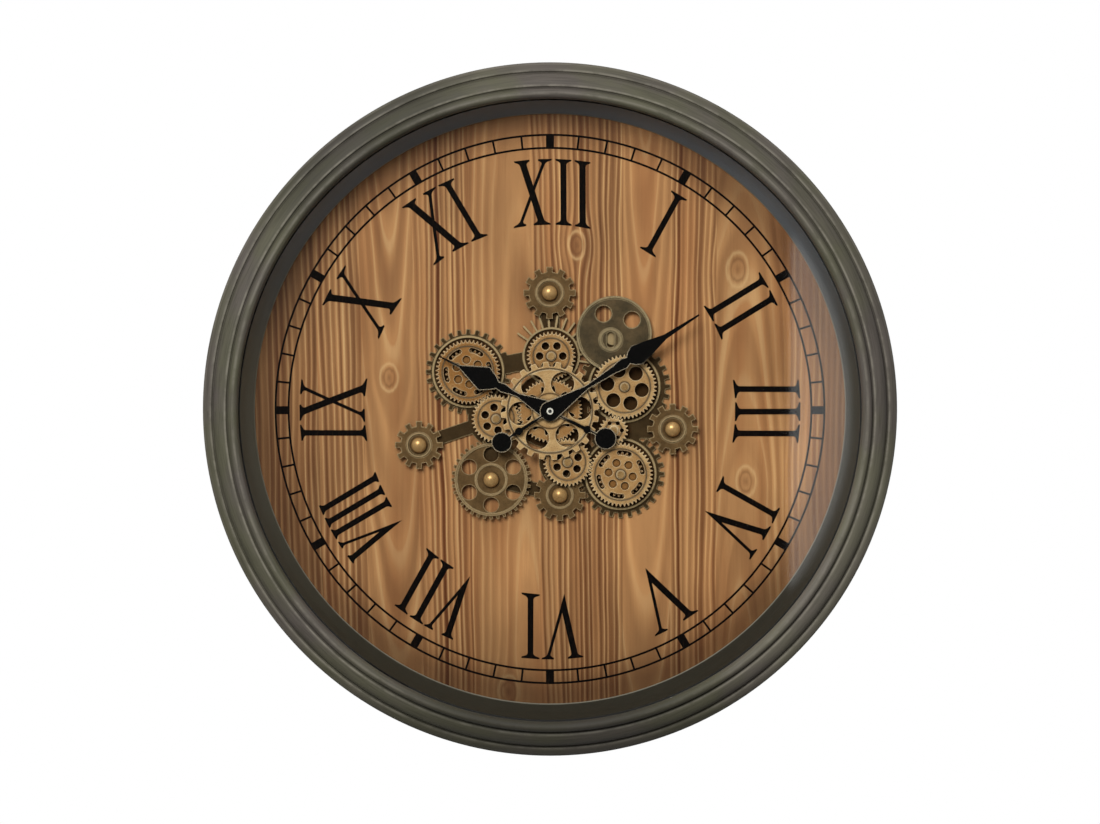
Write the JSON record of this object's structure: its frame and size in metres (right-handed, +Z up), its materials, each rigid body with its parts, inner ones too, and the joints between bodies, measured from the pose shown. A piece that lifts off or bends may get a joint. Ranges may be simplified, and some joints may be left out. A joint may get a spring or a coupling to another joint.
{
  "type": "wall gear clock",
  "caption": "Round wall clock: moulded dark ring, glass, wood-grain dial with Roman numerals, black spade hands and an open train of meshing gilt wheels, hung by a rear keyhole bracket.",
  "frame": {"origin": "centre of the hanger's keyhole in the wall plane", "axes": "+X to the right seen from the front, +Y into the wall, +Z up; the dial faces -Y"},
  "size_m": [0.6, 0.072, 0.6],
  "materials": {
    "charcoal_paint": "wood fibre under satin charcoal paint, rubbed paler along the ridges",
    "glass": "clear, polished",
    "felt": "black felt strip",
    "dial_wood": "honey brown fir staves, satin varnish, black printed numerals",
    "zinc_steel": "zinc plated",
    "dark_bronze": "dark bronze over cast metal, rubbed edges",
    "polished_brass": "polished",
    "gilt": "antique gilt, dark in the recesses",
    "black_plastic": "fine texture",
    "natural_plastic": "moulded",
    "circuit_green": "solder mask",
    "copper_wire": "enamelled wire",
    "cell_jacket": "plain grey jacket",
    "hand_black": "satin black"
  },
  "bodies": {
    "clock_case": {"frame_ring": "charcoal_paint", "frame_band": "charcoal_paint", "glass_pane": "glass", "glass_seal": "felt", "spacer_ring": "charcoal_paint", "dial_board": "dial_wood", "dial_clips": "zinc_steel", "clip_screws": "zinc_steel", "hanger_bracket": "zinc_steel", "hanger_screws": "zinc_steel", "mechanism_plate": "dark_bronze", "top_cog": "dark_bronze", "left_cog": "dark_bronze", "lower_left_cog": "dark_bronze", "bottom_cog": "dark_bronze", "right_cog": "dark_bronze", "upper_right_disc": "dark_bronze", "dome_nuts": "polished_brass", "cog_studs": "zinc_steel", "stud_nuts": "zinc_steel", "wheel_studs": "polished_brass", "centre_collar": "dark_bronze", "collar_clip": "polished_brass", "movement_case": "black_plastic", "movement_cover": "black_plastic", "movement_bush": "polished_brass", "bush_nut": "polished_brass", "movement_battery": "cell_jacket", "movement_contacts": "zinc_steel", "movement_board": "circuit_green", "movement_coil": "copper_wire", "drive_case": "black_plastic", "drive_cover": "black_plastic", "drive_motor": "zinc_steel", "drive_battery": "cell_jacket", "drive_contacts": "zinc_steel"},
    "minute_hand": {"minute_hand": "hand_black", "minute_arbor": "zinc_steel", "hand_nut": "polished_brass"},
    "hour_hand": {"hour_hand": "hand_black", "hour_tube": "natural_plastic"},
    "motion_wheel": {"motion_wheel": "natural_plastic", "setting_knob": "black_plastic"},
    "centre_wheel": {"centre_wheel": "gilt", "centre_front_wheel": "gilt"},
    "top_wheel": {"top_wheel": "gilt"},
    "left_wheel": {"left_wheel": "gilt"},
    "bottom_wheel": {"bottom_wheel": "gilt"},
    "upper_left_wheel": {"upper_left_wheel": "gilt", "upper_left_rear_wheel": "gilt"},
    "lower_right_wheel": {"lower_right_wheel": "gilt", "lower_right_rear_wheel": "gilt"},
    "idler_wheel": {"idler_wheel": "gilt"},
    "upper_right_wheel": {"upper_right_wheel": "gilt", "drive_arbor": "polished_brass", "drive_wheel": "natural_plastic"},
    "motor_pinion": {"motor_pinion": "natural_plastic"}
  },
  "joints": [
    {"name": "minute_hand_turn", "type": "hinge", "parent": "clock_case", "child": "minute_hand", "pos_m": [0, -0.0537, -0.215], "axis": [0, 1, 0], "continuous": true},
    {"name": "hour_hand_turn", "type": "hinge", "parent": "clock_case", "child": "hour_hand", "pos_m": [0, -0.0515, -0.215], "axis": [0, 1, 0], "continuous": true},
    {"name": "motion_wheel_turn", "type": "hinge", "parent": "clock_case", "child": "motion_wheel", "pos_m": [0.00892, -0.0134, -0.20697], "axis": [0, 1, 0], "continuous": true},
    {"name": "centre_wheel_turn", "type": "hinge", "parent": "clock_case", "child": "centre_wheel", "pos_m": [0, -0.043, -0.215], "axis": [0, 1, 0], "continuous": true},
    {"name": "top_wheel_turn", "type": "hinge", "parent": "clock_case", "child": "top_wheel", "pos_m": [0.00107, -0.043, -0.16776], "axis": [0, 1, 0], "continuous": true},
    {"name": "left_wheel_turn", "type": "hinge", "parent": "clock_case", "child": "left_wheel", "pos_m": [-0.04672, -0.043, -0.22207], "axis": [0, 1, 0], "continuous": true},
    {"name": "bottom_wheel_turn", "type": "hinge", "parent": "clock_case", "child": "bottom_wheel", "pos_m": [0.01523, -0.043, -0.25973], "axis": [0, 1, 0], "continuous": true},
    {"name": "upper_left_wheel_turn", "type": "hinge", "parent": "clock_case", "child": "upper_left_wheel", "pos_m": [-0.07098, -0.043, -0.18152], "axis": [0, 1, 0], "continuous": true},
    {"name": "lower_right_wheel_turn", "type": "hinge", "parent": "clock_case", "child": "lower_right_wheel", "pos_m": [0.06125, -0.043, -0.27044], "axis": [0, 1, 0], "continuous": true},
    {"name": "idler_wheel_turn", "type": "hinge", "parent": "clock_case", "child": "idler_wheel", "pos_m": [0.05514, -0.043, -0.23211], "axis": [0, 1, 0], "continuous": true},
    {"name": "upper_right_wheel_turn", "type": "hinge", "parent": "clock_case", "child": "upper_right_wheel", "pos_m": [0.06453, -0.043, -0.19445], "axis": [0, 1, 0], "continuous": true},
    {"name": "motor_pinion_turn", "type": "hinge", "parent": "clock_case", "child": "motor_pinion", "pos_m": [0.05203, -0.0238, -0.18862], "axis": [0, 1, 0], "continuous": true}
  ],
  "couplings": [
    {"joint": "hour_hand_turn", "follows": "minute_hand_turn", "ratio": 0.083333},
    {"joint": "motion_wheel_turn", "follows": "minute_hand_turn", "ratio": -0.33333},
    {"joint": "top_wheel_turn", "follows": "centre_wheel_turn", "ratio": -1.3333},
    {"joint": "left_wheel_turn", "follows": "centre_wheel_turn", "ratio": -1.3333},
    {"joint": "bottom_wheel_turn", "follows": "centre_wheel_turn", "ratio": -1.3333},
    {"joint": "upper_left_wheel_turn", "follows": "centre_wheel_turn", "ratio": 1},
    {"joint": "lower_right_wheel_turn", "follows": "centre_wheel_turn", "ratio": 1},
    {"joint": "idler_wheel_turn", "follows": "centre_wheel_turn", "ratio": -2.2857},
    {"joint": "upper_right_wheel_turn", "follows": "centre_wheel_turn", "ratio": 1},
    {"joint": "motor_pinion_turn", "follows": "centre_wheel_turn", "ratio": -3.6}
  ]
}
